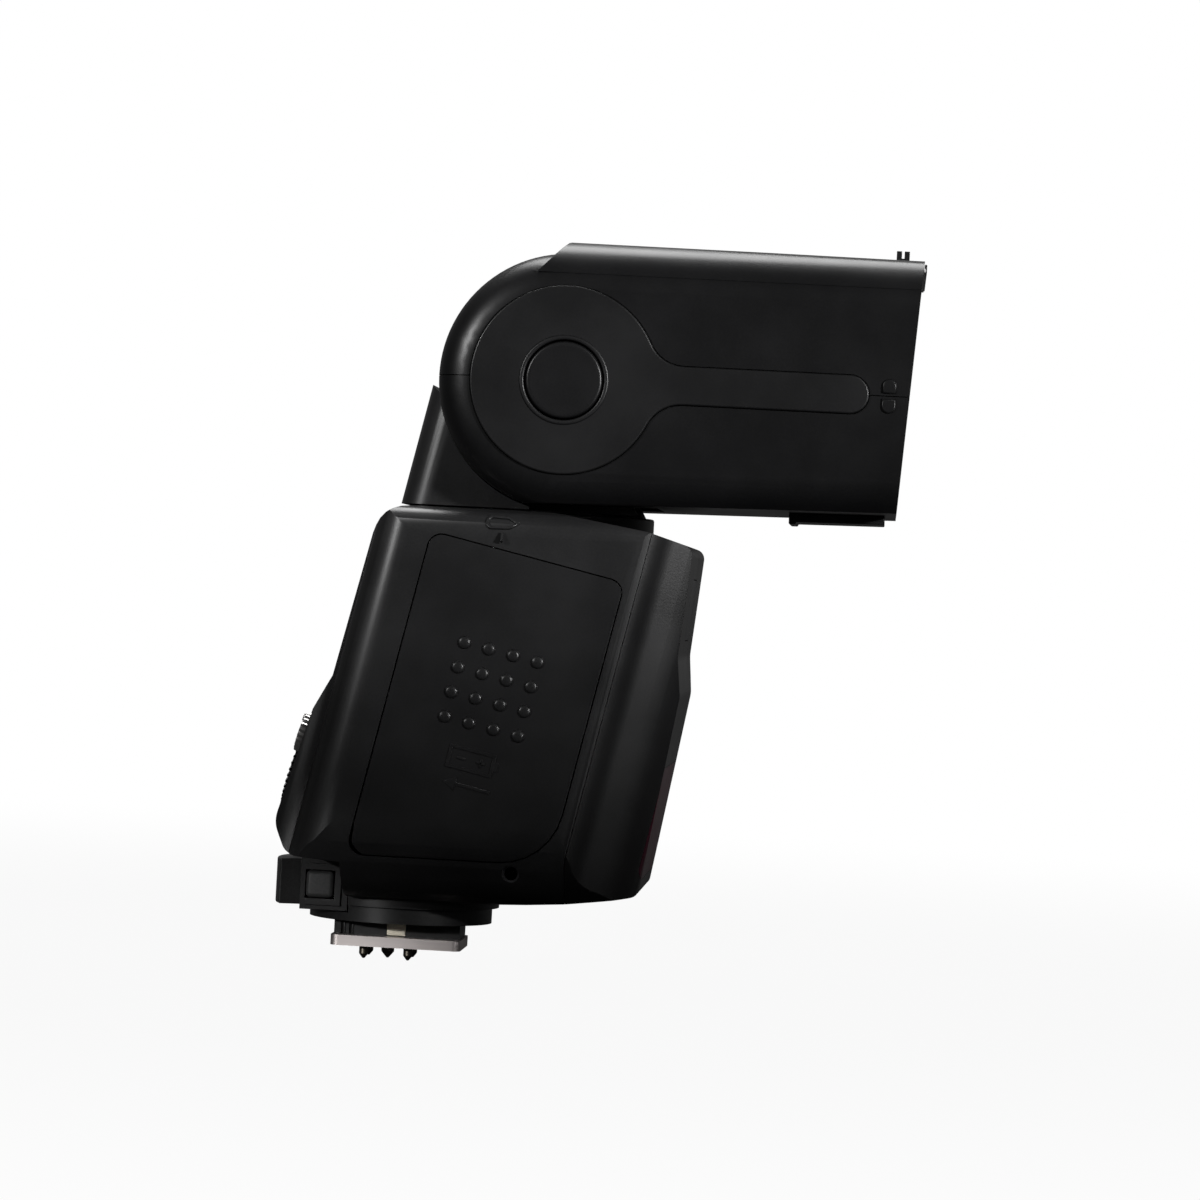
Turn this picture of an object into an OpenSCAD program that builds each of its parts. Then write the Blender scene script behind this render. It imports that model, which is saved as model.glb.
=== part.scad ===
// Speedlight flash with a tilting, swivelling head. Millimetres, +Z up, +X to the front,
// origin at the centre of the shoe foot's underside.

/* [Body] */
// Half of the body's width
body_half_w = 35; // [34:0.5:36]
// Height of the body's flat top
body_top = 85; // [84.5:0.1:85]
// Backward lean of the body from the vertical, in degrees
lean = 12; // [11.5:0.1:12.5]
// Wall thickness of the body shells
wall = 2; // [1.6:0.1:2.2]
// Radius of the round edge along the body's lower sides
belly_r = 15; // [13:0.5:16]
// Width of the seams between fixed shells
seam = 0.12; // [0.05:0.01:0.2]

/* [Head] */
// Distance of the tilt axis in front of the foot's centre
tilt_x = 28.9; // [28.7:0.1:29]
// Height of the tilt axis
tilt_z = 109.65; // [109.5:0.05:109.8]
// Radius of the head's round rear, and height of its top over the tilt axis
head_r = 24.05; // [23.8:0.05:24.1]
// Depth of the head's flat underside below the tilt axis
head_drop = 22.9; // [22.7:0.1:23.1]
// Half of the head's width without its side covers
head_half_w = 37.4; // [37:0.1:38]
// Reach of the head in front of the tilt axis, at the top
head_reach = 65.75; // [65:0.05:66]
// Backward slant of the head's front face, in degrees
front_slant = 3.4; // [3:0.1:4]
// Rise of the head's underside towards the front, in degrees
under_rise = 1.2; // [0.8:0.1:1.3]
// Radius of the head's long edges
head_edge_r = 7; // [5:0.5:8]
// Wall thickness of the head shells
head_wall = 2.4; // [2:0.1:2.6]
// Height of the raised top panel over the head's round rear
top_rise = 2; // [1.8:0.05:2.2]

/* [Side cover] */
// Radius of the disc on the head's side
disc_r = 17.6; // [17:0.1:18]
// Half of the width of the bar that runs forward from the disc
bar_half_w = 3.6; // [3:0.1:4]
// Reach of the bar in front of the tilt axis
bar_reach = 56.8; // [52:0.1:57.5]
// Radius of the hollow blends between disc and bar
blend_r = 7; // [5:0.5:8]
// Radius of the bounce lock button in the disc
push_r = 7.2; // [6.5:0.1:7.6]

/* [Swivel] */
// Distance of the swivel axis in front of the foot's centre
swivel_x = 20.5; // [20.3:0.1:20.7]
// Radius of the collar under the neck
collar_r = 24.7; // [24.4:0.1:24.8]
// Height of the collar's top
collar_top = 85.2; // [85.1:0.05:85.25]
// Height of the collar's underside
collar_low = 79; // [78.8:0.1:80]
// Height of the swivel shaft's lower end
shaft_low = 77; // [76.8:0.1:77.2]
// Radius of the hollow swivel shaft
shaft_r = 15; // [14:0.5:15.5]
// Half of the width of the neck that shows beside the head
neck_half_w = 24; // [22:0.5:25]

/* [Shoe foot] */
// Length of the foot plate along the slide
foot_len = 25.2; // [24.4:0.1:25.4]
// Width of the foot plate across the slide
foot_w = 18.6; // [18.4:0.05:18.6]
// Thickness of the foot plate
foot_thick = 2; // [1.8:0.05:2]
// Width of the neck between the shoe's rails
rail_gap_w = 12.3; // [12:0.1:12.4]
// Radius of the flange over the foot
flange_r = 19; // [18.5:0.1:19]

/* [Battery door] */
// Rear edge of the door across the leaning body
door_p0 = -11.3; // [-11.5:0.1:-11]
// Front edge of the door across the leaning body
door_p1 = 26; // [25.5:0.1:26.2]
// Height of the door's lower edge
door_low_z = 19.1; // [19:0.1:19.4]
// Upper edge of the door along the leaning body
door_q1 = 79.6; // [78:0.1:79.6]
// Gap round the door
door_gap = 0.25; // [0.2:0.05:0.3]
// Slope of the ramp on which the door slides out, in degrees
ramp = 53; // [52:0.5:53.5]

/* [Rear controls] */
// Radius of the select dial
dial_r = 9.3; // [9:0.1:9.5]
// Height of the dial's centre along the leaning body
dial_q = 27; // [26.5:0.5:27.5]
// Radius of the four round buttons
button_r = 2.5; // [2.2:0.1:2.6]
// Height of the four round buttons along the leaning body
button_q = 52; // [51.5:0.5:52]
// Sideways distance between neighbouring round buttons
button_pitch = 11; // [9:0.5:12]
// Running gap round buttons and dials
run_gap = 0.3; // [0.2:0.05:0.4]

/* [Zoom] */
// Half of the reflector's width
reflector_half_w = 25; // [22:0.5:26]
// Half of the reflector's height at its mouth
reflector_half_h = 15; // [12:0.5:16]
// Radius of the flash tube
tube_r = 2.2; // [1.8:0.1:2.5]
// Running gap of shafts in their bores
fit_gap = 0.05; // [0.02:0.01:0.08]

/* [Hidden] */
$fn = 64;
corner_steps = 6;
far = 200;

// Outlines: points are [x, y, corner radius], counterclockwise

function plain(p) = [p[0], p[1]];
function unit(v) = v / norm(v);
function left_of(v) = unit([-v[1], v[0]]);
function spin(v, a) = [v[0] * cos(a) - v[1] * sin(a), v[0] * sin(a) + v[1] * cos(a)];
function before(pts, i) = plain(pts[(i + len(pts) - 1) % len(pts)]);
function after(pts, i) = plain(pts[(i + 1) % len(pts)]);

// Points of one rounded corner at p, between its neighbours a and b
function corner(a, p, b, r) =
    let (
        u = unit(a - p),
        v = unit(b - p),
        half = acos(u * v) / 2,
        centre = p + unit(u + v) * r / sin(half),
        start = p + u * r / tan(half) - centre,
        sweep = sign(cross(p - a, b - p)) * (180 - 2 * half)
    )
    [for (k = [0:corner_steps]) centre + spin(start, sweep * k / corner_steps)];

// Outline with its corners rounded
function rounded(pts) = [
    for (i = [0:len(pts) - 1])
        let (p = plain(pts[i]), r = pts[i][2])
        each (r > 0 ? corner(before(pts, i), p, after(pts, i), r) : [p])
];

// Outline moved inward by t, with its corner radii to match
function inset(pts, t) = [
    for (i = [0:len(pts) - 1])
        let (
            p = plain(pts[i]),
            back = p - before(pts, i),
            ahead = after(pts, i) - p,
            m = left_of(back),
            n = left_of(ahead),
            moved = p + (m + n) * t / (1 + m * n),
            r = pts[i][2],
            new_r = cross(back, ahead) > 0 ? max(r - t, 0.3) : r + t
        )
        [moved[0], moved[1], r == 0 ? 0 : new_r]
];

// Outline of a rectangle with rounded corners
function box_outline(x0, x1, y0, y1, r) = [[x0, y0, r], [x1, y0, r], [x1, y1, r], [x0, y1, r]];

// Prisms along the three axes, from an outline in the plane across them
module along_y(outline, y0, y1) {
    translate([0, y1, 0]) rotate([90, 0, 0]) linear_extrude(height = y1 - y0) polygon(outline);
}

module along_x(outline, x0, x1) {
    translate([x0, 0, 0]) rotate([90, 0, 90]) linear_extrude(height = x1 - x0) polygon(outline);
}

module along_z(outline, z0, z1) {
    translate([0, 0, z0]) linear_extrude(height = z1 - z0) polygon(outline);
}

// Round bar along Y
module bar_y(r, x, z, y0, y1) {
    translate([x, y1, z]) rotate([90, 0, 0]) cylinder(r = r, h = y1 - y0);
}

// Round bar along X
module bar_x(r, y, z, x0, x1) {
    translate([x0, y, z]) rotate([0, 90, 0]) cylinder(r = r, h = x1 - x0);
}

module box(low, high) {
    translate(low) cube(high - low);
}

// Frame of the leaning body: p across it towards the front, q up along it
module leaning() {
    rotate([0, lean, 0]) children();
}

// Body shell

body_low = 10.2;
// Side view, X and Z
body_side = [
    [-19.4, 18.2, 3], [-8.9, 17.4, 0], [-8.5, body_low, 0], [20, body_low, 0], [33.5, 11.35, 0],
    [46.9, 13.4, 1.6], [53.1, 51.6, 6], [52.4, 59, 8], [54.3, 79.7, 2], [46, 82.2, 0], [28, body_top, 20],
    [-4.85, body_top, 7], [-12.3, 52.3, 1.5], [-15.8, 45.8, 3], [-22.2, 24.2, 5]
];
// Cross view, Y and Z
body_cross = [
    [-body_half_w, body_low, belly_r], [body_half_w, body_low, belly_r],
    [body_half_w, body_top, 5], [-body_half_w, body_top, 5]
];
// Plan across the lean, p and Y: round rear corners, a ridge, a valley and a narrower nose
nose_half_w = body_half_w - 8.2;
valley_half_w = body_half_w - 3.4;
body_plan = [
    [-22.8, -body_half_w, 7.5], [28.6, -body_half_w, 7], [32, -valley_half_w, 7],
    [43.5, -nose_half_w, 12], [43.5, nose_half_w, 12],
    [32, valley_half_w, 7], [28.6, body_half_w, 7], [-22.8, body_half_w, 7.5]
];
// Plan of the swelling that carries the controls on the lower rear
bump_half_w = body_half_w - 5;
bump_plan = box_outline(-28, 0, -bump_half_w, bump_half_w, 6);

// The body's outer form, moved inward by t
module body_form(t) {
    intersection() {
        along_y(rounded(inset(body_side, t)), -far, far);
        along_x(rounded(inset(body_cross, t)), -far, far);
        leaning() union() {
            along_z(rounded(inset(body_plan, t)), -far, far);
            along_z(rounded(inset(bump_plan, t)), -far, far);
        }
    }
}

// The body's wall, before it is divided
module body_wall() {
    difference() {
        body_form(0);
        body_form(wall);
    }
}

// Parting line of the two body shells, X and Z: upright at the bottom, then along the lean
part_x = 33.5;
part_z = 20;
part_top_x = part_x + (100 - part_z) * tan(lean);

module front_half(gap) {
    low_x = part_x + gap;
    along_y([[low_x, 0], [far, 0], [far, 100], [part_top_x + gap, 100], [low_x, part_z]], -far, far);
}

// Battery door: its edges run along the ramp, so it slides out without catching

function door_low_q(p) = (door_low_z + p * sin(lean)) / cos(lean);
door_outline = [
    [door_p0, door_low_q(door_p0), 2.5], [door_p1, door_low_q(door_p1), 12],
    [door_p1, door_q1, 2.5], [door_p0, door_q1, 2.5]
];
// The hinge lies inside the case, so far behind the door's edge that the edge swings out along the ramp
hinge_depth = 4;
hinge_p = door_p0 - hinge_depth * tan(ramp);
hinge_y = -body_half_w + hinge_depth;
hinge_pin_r = 0.8;
hinge_qs = [28, 66];
arm_thick = 3;

// Prism of the door straight through the near wall, grown by g
module door_straight(g) {
    leaning() along_y(rounded(inset(door_outline, -g)), -far, -24);
}

// Prism of the door along the ramp
module door_ramped() {
    squeezed = [for (c = rounded(door_outline)) [c[0] * sin(ramp), c[1]]];
    leaning() translate([0, -body_half_w, 0]) rotate([0, 0, ramp - 90]) along_y(squeezed, -20, 20);
}

// Lugs inside the case, on both sides of each hinge arm
module hinge_lugs() {
    lug_thick = 1.6;
    leaning() for (q = hinge_qs, side = [-lug_thick - run_gap, arm_thick + run_gap])
        translate([0, 0, q + side]) difference() {
            box([hinge_p - 1.8, -body_half_w + 1.2, 0], [hinge_p + 1.8, hinge_y + 1.6, lug_thick]);
            translate([hinge_p, hinge_y, -1]) cylinder(r = hinge_pin_r, h = lug_thick + 2);
        }
}

module door_hinge_pin() {
    color("silver") leaning() for (q = hinge_qs)
        translate([hinge_p, hinge_y, q - 1.9]) cylinder(r = hinge_pin_r, h = arm_thick + 3.8);
}

// Two curved arms reach round the case's edge to a plate under the door
module door_hinge_arm() {
    ring_in = 7.4;
    ring_out = 8.6;
    plate_y = hinge_y - 1.7;
    wedge = [for (a = [-10:22:100]) 12 * [cos(a), sin(a)]];
    color("dimgray") leaning() {
        for (q = hinge_qs) translate([hinge_p, hinge_y, q]) difference() {
            union() {
                cylinder(r = 1.6, h = arm_thick);
                rotate([0, 0, 100]) translate([0, -0.7, 0]) cube([8, 1.4, arm_thick]);
                intersection() {
                    difference() {
                        cylinder(r = ring_out, h = arm_thick);
                        translate([0, 0, -1]) cylinder(r = ring_in, h = arm_thick + 2);
                    }
                    along_z(concat([[0, 0]], wedge), 0, arm_thick);
                }
            }
            translate([0, 0, -1]) cylinder(r = hinge_pin_r + fit_gap, h = arm_thick + 2);
        }
        box([hinge_p + 7.5, plate_y, hinge_qs[0]], [door_p0 + 20, plate_y + 0.8, hinge_qs[1] + arm_thick]);
    }
}

module battery_door() {
    color("dimgray") intersection() {
        body_wall();
        door_straight(0);
        door_ramped();
    }
}

// Rear panel and its controls

panel_half_w = 26;
bump_lean = atan2(body_side[13][0] - body_side[14][0], body_side[13][1] - body_side[14][1]);
bump_p = body_side[13][0] * cos(bump_lean) - body_side[13][1] * sin(bump_lean);
rear_p = -22.8;
button_ys = [for (k = [0:3]) (k - 1.5) * button_pitch];
switch_place = [-19, 34];
test_place = [19, 34];
lamp_place = [19, 24.5];
lcd_half_w = 20;
lcd_q0 = 56.5;
lcd_q1 = 72;

module panel_space(g) {
    half_w = panel_half_w - g;
    leaning() along_y(rounded(inset(box_outline(-60, -15, 21, 76.5, 3), g)), -half_w, half_w);
}

// Place on the swelling of the rear panel, with +Z out of its surface
module on_bump(place) {
    rotate([0, bump_lean, 0]) translate([bump_p, place[0], place[1]]) rotate([0, -90, 0]) children();
}

// Place in the row of round buttons, with +Z out of the rear surface
module on_row(y) {
    leaning() translate([rear_p, y, button_q]) rotate([0, -90, 0]) children();
}

module lcd_space(g) {
    outline = box_outline(-lcd_half_w, lcd_half_w, lcd_q0, lcd_q1, 1.5);
    leaning() along_x(rounded(inset(outline, g)), -60, -15);
}

// Hole through the wall at the current place
module wall_hole(r) {
    cylinder(r = r, h = 5 * wall, center = true);
}

module control_panel() {
    color("dimgray") difference() {
        intersection() {
            body_wall();
            panel_space(seam / 2);
        }
        lcd_space(-seam);
        for (y = button_ys) on_row(y) wall_hole(button_r + run_gap);
        on_bump([0, dial_q]) wall_hole(hub_r + fit_gap);
        on_bump(switch_place) wall_hole(switch_hub_r + fit_gap);
        on_bump(test_place) wall_hole(test_r + run_gap);
        on_bump(lamp_place) wall_hole(lamp_r);
    }
}

module lcd_window() {
    color("darkslategray") intersection() {
        difference() {
            body_form(0);
            body_form(1.2);
        }
        lcd_space(0);
    }
}

module lcd_module() {
    half_w = lcd_half_w - 1;
    color("slategray") leaning()
        box([rear_p + wall + 0.5, -half_w, lcd_q0 - 1], [rear_p + wall + 3, half_w, lcd_q1 - 1]);
}

// Serrated round knob: teeth round a disc
module knob(r, height, teeth) {
    depth = 0.35;
    rim = [
        for (k = [0:2 * teeth - 1])
            (k % 2 == 0 ? r : r - depth) * [cos(180 * k / teeth), sin(180 * k / teeth)]
    ];
    linear_extrude(height = height) polygon(rim);
}

hub_r = 6.2;
set_r = 4.7;
switch_hub_r = 2;
test_r = 3.4;
lamp_r = 1.3;

module select_dial() {
    color("black") on_bump([0, dial_q]) difference() {
        union() {
            translate([0, 0, run_gap]) knob(dial_r, 2.4, 44);
            translate([0, 0, -wall - 1]) cylinder(r = hub_r, h = wall + 2);
            translate([0, 0, -wall - 1.2]) cylinder(r = hub_r + 0.9, h = 0.8);
        }
        wall_hole(set_r + run_gap);
    }
}

module set_button() {
    color("dimgray") on_bump([0, dial_q]) translate([0, 0, -wall - 0.6]) cylinder(r = set_r, h = wall + 3.7);
}

module power_switch() {
    color("silver") on_bump(switch_place) {
        translate([0, 0, run_gap]) knob(3.9, 1.6, 22);
        translate([0, 0, -wall - 1]) cylinder(r = switch_hub_r, h = wall + 2);
        translate([2, -0.5, run_gap]) cube([1.4, 1, 2]);
    }
}

module test_button() {
    color("darkred") on_bump(test_place) translate([0, 0, -wall - 1]) cylinder(r = test_r, h = wall + 2);
}

module confirm_lamp() {
    color("darkgreen") on_bump(lamp_place) translate([0, 0, -wall]) cylinder(r = lamp_r, h = wall + 0.3);
}

module round_button(y) {
    color("dimgray") on_row(y) translate([0, 0, -wall - 1]) cylinder(r = button_r, h = wall + 1.8);
}

module mode_button() {
    round_button(button_ys[0]);
}

module zoom_button() {
    round_button(button_ys[1]);
}

module sync_button() {
    round_button(button_ys[2]);
}

module light_button() {
    round_button(button_ys[3]);
}

// Sockets on the far side, under a rubber flap

flap_p = 14;
flap_outline = box_outline(flap_p, flap_p + 10, 32, 60, 2);
socket_rs = [2.6, 1.8, 2];

module flap_space(g) {
    leaning() along_y(rounded(inset(flap_outline, g)), 26, far);
}

// The flap turns on a round bead along its rear edge
bead_r = 0.8;
bead_p = flap_p + 0.95;

module terminal_cover() {
    color("black") {
        difference() {
            intersection() {
                body_wall();
                flap_space(0.3);
            }
            leaning() box([flap_p - 5, 0, 0], [bead_p, far, far]);
        }
        leaning() translate([bead_p, body_half_w, 34]) cylinder(r = bead_r, h = 24);
    }
}

module terminal_sockets() {
    color("gray") leaning() difference() {
        box([flap_p + 0.8, 26, 33], [flap_p + 9.2, body_half_w - wall - 0.4, 59]);
        for (k = [0:2]) bar_y(socket_rs[k], flap_p + 5, 38 + 8 * k, 28, far);
    }
}

// Threaded bush under the door

bush_x = 23.4;
bush_z = 16.9;
bush_y = -31;
bush_len = 5;
bush_r = 1.65;
bush_bore_r = 1.25;

module bracket_insert() {
    color("silver") difference() {
        bar_y(bush_r, bush_x, bush_z, bush_y, bush_y + bush_len);
        bar_y(bush_bore_r, bush_x, bush_z, bush_y - 1, bush_y + bush_len + 1);
    }
}

// Windows in the front shell

assist_outline = box_outline(-24.3, 24.3, 16.5, 38, 3);
sensor_outline = box_outline(-9, 9, 62, 74, 2);

module front_window(outline, g) {
    along_x(rounded(inset(outline, g)), 30, far);
}

module assist_lamp_window() {
    color("darkred") intersection() {
        body_wall();
        front_window(assist_outline, seam);
    }
}

module sensor_window() {
    color("black") intersection() {
        body_wall();
        front_window(sensor_outline, seam);
    }
}

module assist_lamp_led() {
    color("white") bar_x(3, 0, 27, 37.5, 43);
}

// Body shells

screw_x = 40;
screw_y = 16;

module rear_case() {
    color("dimgray") difference() {
        union() {
            difference() {
                body_wall();
                front_half(-seam / 2);
            }
            hinge_lugs();
        }
        door_straight(door_gap);
        panel_space(-seam / 2);
        flap_space(0);
        translate([swivel_x, 0, 70]) cylinder(r = collar_r + seam, h = 30);
        bar_y(bush_r, bush_x, bush_z, -far, bush_y + bush_len);
    }
}

module front_case() {
    color("dimgray") difference() {
        intersection() {
            body_wall();
            front_half(seam / 2);
        }
        front_window(assist_outline, 0);
        front_window(sensor_outline, 0);
        for (side = [-1, 1]) translate([screw_x, side * screw_y, 0]) {
            cylinder(r = 1.3, h = 30);
            cylinder(r = 2.4, h = 13.9);
        }
    }
}

module case_screws() {
    color("silver") for (side = [-1, 1]) translate([screw_x, side * screw_y, 0]) {
        translate([0, 0, 12.9]) cylinder(r = 2.3, h = 1);
        translate([0, 0, 13.5]) cylinder(r = 1.3, h = 8);
    }
}

module swivel_collar() {
    color("black") translate([swivel_x, 0, collar_low]) difference() {
        cylinder(r = collar_r, h = collar_top - collar_low);
        translate([0, 0, -1]) cylinder(r = shaft_r + fit_gap, h = 20);
    }
}

// Inside the body

cell_r = 7.25;
cell_ps = [1, 16.2];
cell_ys = [-23.2, -8.4];
cell_q = 25.6;
cell_len = 49.5;

module battery_cells() {
    color("darkorange") leaning() for (p = cell_ps, y = cell_ys) translate([p, y, cell_q]) {
        cylinder(r = cell_r, h = cell_len);
        cylinder(r = 2.7, h = cell_len + 1);
    }
}

module battery_contacts() {
    color("silver") leaning() for (p = cell_ps, y = cell_ys) translate([p, y, 0]) {
        translate([0, 0, cell_q - 0.5]) cylinder(r = 6, h = 0.4);
        translate([0, 0, cell_q + cell_len + 1.05]) cylinder(r = 6, h = 0.4);
    }
}

// Tray for the cells, open to the door
module battery_cage() {
    pocket_r = cell_r + 0.15;
    color("gray") leaning() difference() {
        box([-7.2, -31.4, 24.2], [24.4, -0.2, 76.6]);
        box([cell_ps[0] - pocket_r, -far, 25], [cell_ps[1] + pocket_r, cell_ys[1] + pocket_r, far]);
    }
}

module main_capacitor() {
    color("midnightblue") leaning() translate([4.5, 17, 24]) cylinder(r = 12.5, h = 50);
}

module main_board() {
    color("darkgreen") leaning() box([26.5, -27, 24.5], [28.1, 27, 70]);
}

// Shoe foot

// Shoe contacts: X, Y and radius
contacts = [[-2.2, 0, 1.25], [-6.4, 4.5, 0.9], [-6.4, -4.5, 0.9], [2.2, 4.5, 0.9], [2.2, -4.5, 0.9]];
contact_low = -2.6;
rail_top = 5.2;
tier_z = 8.3;
flange_top = body_low - 0.05;
tier_r = flange_r - 1.3;
block_half_len = 12.2;
insert_x0 = -8.2;
insert_x1 = 8.9;
insert_half_w = 5.7;
lock_pin_x = 7.4;
lock_pin_r = 1.2;
foot_screw_x = 10.3;
foot_screw_y = 4.2;
foot_screw_r = 0.85;
foot_screw_head_r = 1.4;

// Bores through the foot for the contacts and the lock pin
module foot_bores(z0, z1) {
    for (c = contacts) translate([c[0], c[1], z0]) cylinder(r = c[2] + fit_gap, h = z1 - z0);
    translate([lock_pin_x, 0, z0]) cylinder(r = lock_pin_r + fit_gap, h = z1 - z0);
}

module foot_screw_places() {
    for (x = [-1, 1], y = [-1, 1]) translate([x * foot_screw_x, y * foot_screw_y, 0]) children();
}

module foot_plate() {
    half_len = foot_len / 2;
    color("silver") difference() {
        along_z(rounded(box_outline(-half_len, half_len, -foot_w / 2, foot_w / 2, 1.5)), 0, foot_thick);
        box([insert_x0, -insert_half_w, -1], [insert_x1, insert_half_w, foot_thick + 1]);
        foot_screw_places() {
            translate([0, 0, -1]) cylinder(r = foot_screw_r, h = 5);
            translate([0, 0, -1]) cylinder(r = foot_screw_head_r, h = 2.2);
        }
    }
}

module foot_block() {
    color("black") difference() {
        union() {
            box([-block_half_len, -rail_gap_w / 2, foot_thick], [block_half_len, rail_gap_w / 2, rail_top]);
            box([insert_x0, -insert_half_w, 0.15], [insert_x1, insert_half_w, foot_thick + 0.1]);
        }
        foot_bores(-5, 10);
        foot_screw_places() cylinder(r = foot_screw_r, h = 10);
        ground_contact_space();
        // Upright grooves at the rear of both sides
        for (side = [-1, 1], x = [-10.4, -8.8])
            translate([x, side * (rail_gap_w / 2 + 0.1), foot_thick - 1]) cylinder(r = 0.5, h = 10);
    }
}

// Ground contacts on both sides of the foot's neck
module ground_contact_space() {
    for (side = [-1, 1]) translate([0, side * (rail_gap_w / 2 - 0.45), 0])
        box([-2, -0.5, foot_thick + 0.1], [1.7, 0.5, rail_top - 0.4]);
}

module ground_contact() {
    color("silver") ground_contact_space();
}

module foot_screws() {
    color("silver") foot_screw_places() {
        translate([0, 0, 0.3]) cylinder(r = foot_screw_head_r, h = 0.9);
        translate([0, 0, 0.5]) cylinder(r = foot_screw_r, h = 7.4);
    }
}

module contact_pins() {
    color("silver") for (c = contacts) translate([c[0], c[1], 0]) rotate_extrude() polygon([
        [0, contact_low], [0.2, contact_low], [c[2], contact_low + c[2]], [c[2], rail_top + 0.4],
        [c[2] + 0.4, rail_top + 0.4], [c[2] + 0.4, rail_top + 1.2], [0, rail_top + 1.2]
    ]);
}

module contact_springs() {
    color("silver") for (c = contacts) translate([c[0], c[1], rail_top + 1.25]) difference() {
        cylinder(r = c[2] + 0.3, h = flange_top - rail_top - 1.4);
        translate([0, 0, -1]) cylinder(r = c[2] - 0.2, h = 10);
    }
}

// Lock: a lever that swings round the foot's axis lowers a pin into the shoe

boss_r = 9.5;
lever_z0 = 8.6;
lever_z1 = body_low - 0.3;
lever_half_angle = 20;
lever_swing = 35;
tab_r0 = flange_r + 0.6;
tab_r1 = 24.5;
housing_x0 = -18.1;
housing_x1 = -8.9;
housing_y = -15.2;
housing_far_y = 8;
housing_top = 17;
release_x0 = -17;
release_x1 = -11.6;
release_z0 = 9.3;
release_z1 = 14.5;

// Sector about the foot's axis, between two angles from +X
function sector(r, a0, a1) =
    let (step = (a1 - a0) / 8)
    concat([[0, 0]], [for (k = [0:8]) r * [cos(a0 + step * k), sin(a0 + step * k)]]);

module ring(r0, r1, z0, z1) {
    translate([0, 0, z0]) difference() {
        cylinder(r = r1, h = z1 - z0);
        translate([0, 0, -1]) cylinder(r = r0, h = z1 - z0 + 2);
    }
}

module lock_lever() {
    color("dimgray") {
        ring(boss_r + fit_gap, boss_r + 2.8, lever_z0, lever_z1);
        intersection() {
            union() {
                ring(boss_r + 2, tab_r0 + 1, lever_z0, lever_z1);
                ring(tab_r0, tab_r1, 7.3, 16.1);
            }
            along_z(sector(40, 180 - lever_half_angle, 180 + lever_half_angle), 0, 30);
        }
    }
}

module lock_pin() {
    color("silver") translate([lock_pin_x, 0, 0.2]) cylinder(r = lock_pin_r, h = 9);
}

module foot_flange() {
    color("black") difference() {
        union() {
            translate([0, 0, rail_top]) cylinder(r = tier_r, h = tier_z - rail_top);
            translate([0, 0, tier_z]) cylinder(r = flange_r, h = flange_top - tier_z);
        }
        foot_bores(0, 20);
        for (c = contacts) translate([c[0], c[1], rail_top + 0.3]) cylinder(r = c[2] + 0.5, h = 10);
        foot_screw_places() cylinder(r = foot_screw_r, h = 8);
        ring(boss_r, boss_r + 3.2, lever_z0 - 0.2, 20);
        intersection() {
            ring(boss_r, 40, lever_z0 - 0.2, 20);
            along_z(sector(50, 180 - lever_half_angle - lever_swing - 3, 180 + lever_half_angle + 3), 0, 30);
        }
        box([housing_x0 - 10, -far, 6.8], [housing_x1 + 0.3, -8.4, 20]);
    }
}

module lock_housing() {
    rim = 1.4;
    color("dimgray") difference() {
        union() {
            box([housing_x0, housing_y, 7], [housing_x1, -8.6, housing_top]);
            box([housing_x0 + 0.5, -8.8, 10.6], [housing_x1, housing_far_y, housing_top]);
            // Raised rim round the release button, open to the rear
            box([release_x0, housing_y - 0.5, release_z0 - rim], [release_x1 + rim, -10, release_z1 + rim]);
        }
        box([release_x0 - 0.15, -far, release_z0 - 0.15], [release_x1 + 0.15, -9.8, release_z1 + 0.15]);
        box([-30, -far, release_z0 - 0.15], [release_x0, housing_y, release_z1 + 0.15]);
    }
}

module lock_release_button() {
    color("dimgray") box([release_x0, housing_y - 0.8, release_z0], [release_x1, -11.5, release_z1]);
}

// Neck, turning on the body

neck_low = collar_top + 0.3;
cradle_r = head_r + 0.4;
drum_r = head_r - 2.5;
drum_half_w = 15;
tilt_pin_r = 4;
slot_half_w = drum_half_w + 0.4;
slot_reach = 17.5;

cradle_top = 108.4;
// Cradle behind the head, X and Z: its tip is cut back for the raised panel when the head points up
cradle_side = [
    [-8, neck_low], [22.6, neck_low], [22.6, 100], [7, 104.5], [2.6, cradle_top], [-8, cradle_top]
];
// Plan of the cradle across the lean, p and Y, with round rear edges
cradle_plan = box_outline(-20, 60, -neck_half_w, neck_half_w, 6);

module neck_yoke() {
    color("dimgray") difference() {
        union() {
            difference() {
                intersection() {
                    along_y(cradle_side, -far, far);
                    leaning() along_z(rounded(cradle_plan), 0, far);
                }
                bar_y(cradle_r, tilt_x, tilt_z, -40, 40);
            }
            along_y([
                [20, neck_low], [tilt_x + 14, neck_low],
                [tilt_x + 10.5, tilt_z - 18], [tilt_x - 6, tilt_z - 18]
            ], -drum_half_w, drum_half_w);
            bar_y(drum_r, tilt_x, tilt_z, -drum_half_w, drum_half_w);
        }
        difference() {
            bar_y(drum_r - 2.4, tilt_x, tilt_z, -drum_half_w + 2.4, drum_half_w - 2.4);
            bar_y(tilt_pin_r + 3, tilt_x, tilt_z, -drum_half_w, drum_half_w);
        }
        bar_y(tilt_pin_r, tilt_x, tilt_z, -40, 40);
        translate([swivel_x + 2, 0, 80]) cylinder(r = 6, h = 16);
    }
}

module tilt_pins() {
    color("silver") for (side = [-1, 1]) mirror([0, side > 0 ? 0 : 1, 0])
        bar_y(tilt_pin_r, tilt_x, tilt_z, drum_half_w - 6, cheek_y1 + 2);
}

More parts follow.
